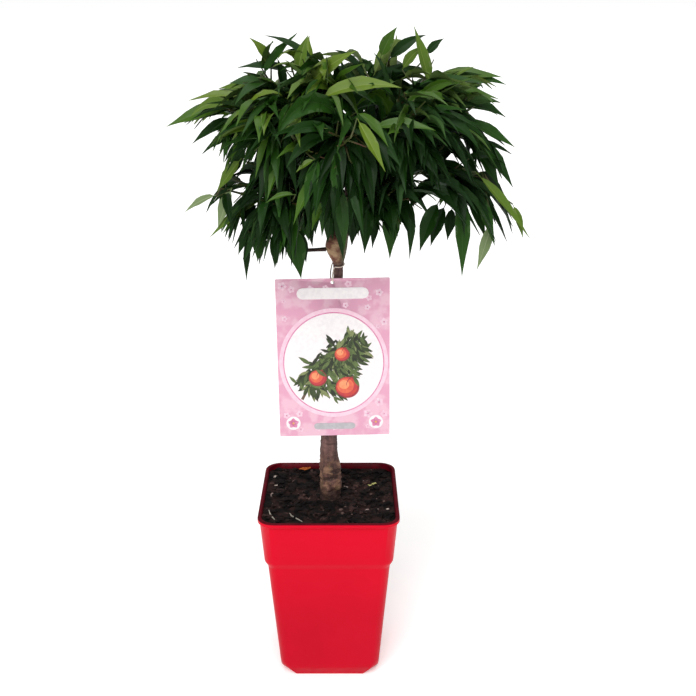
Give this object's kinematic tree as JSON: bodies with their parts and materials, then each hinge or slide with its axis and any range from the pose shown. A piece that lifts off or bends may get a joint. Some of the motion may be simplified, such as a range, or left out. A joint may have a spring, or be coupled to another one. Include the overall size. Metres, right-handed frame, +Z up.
{
  "type": "potted dwarf peach tree",
  "caption": "Dwarf peach tree with a full crown of long drooping leaves on a short grafted trunk, in a square glossy red nursery pot of soil, with a picture card tied under the crown.",
  "frame": {"origin": "centre of the pot's underside", "axes": "+Z up along the trunk, +Y away from the front, +X to the right as seen from the front, where the card hangs"},
  "size_m": [0.355, 0.2862, 0.692],
  "materials": {
    "pot": "glossy crimson injection-moulded plastic",
    "soil": "moist dark peat with grit and fine roots",
    "bark": "purple-brown bark with tan patches",
    "foliage": "satin green leaves",
    "card": "printed pink and white plastic card",
    "tie": "cream plastic cord"
  },
  "bodies": {
    "root": {"pot": "pot", "soil": "soil", "trunk": "bark", "bough_low_left": "bark", "bough_low_right": "bark", "bough_low_front_left": "bark", "bough_low_front_right": "bark", "bough_low_back_left": "bark", "bough_low_back_right": "bark", "bough_front": "bark", "bough_left": "bark", "bough_right": "bark", "bough_back": "bark", "bough_front_left": "bark", "bough_front_right": "bark", "bough_back_right": "bark", "bough_back_left": "bark", "bough_upper_right": "bark", "bough_upper_left": "bark", "bough_top_front": "bark", "bough_top_back": "bark", "foliage_low_left": "foliage", "foliage_low_right": "foliage", "foliage_low_front_left": "foliage", "foliage_low_front_right": "foliage", "foliage_low_back_left": "foliage", "foliage_low_back_right": "foliage", "foliage_front": "foliage", "foliage_left": "foliage", "foliage_right": "foliage", "foliage_back": "foliage", "foliage_front_left": "foliage", "foliage_front_right": "foliage", "foliage_back_right": "foliage", "foliage_back_left": "foliage", "foliage_upper_right": "foliage", "foliage_upper_left": "foliage", "foliage_top_front": "foliage", "foliage_top_back": "foliage", "card": "card", "tie": "tie"}
  },
  "joints": []
}
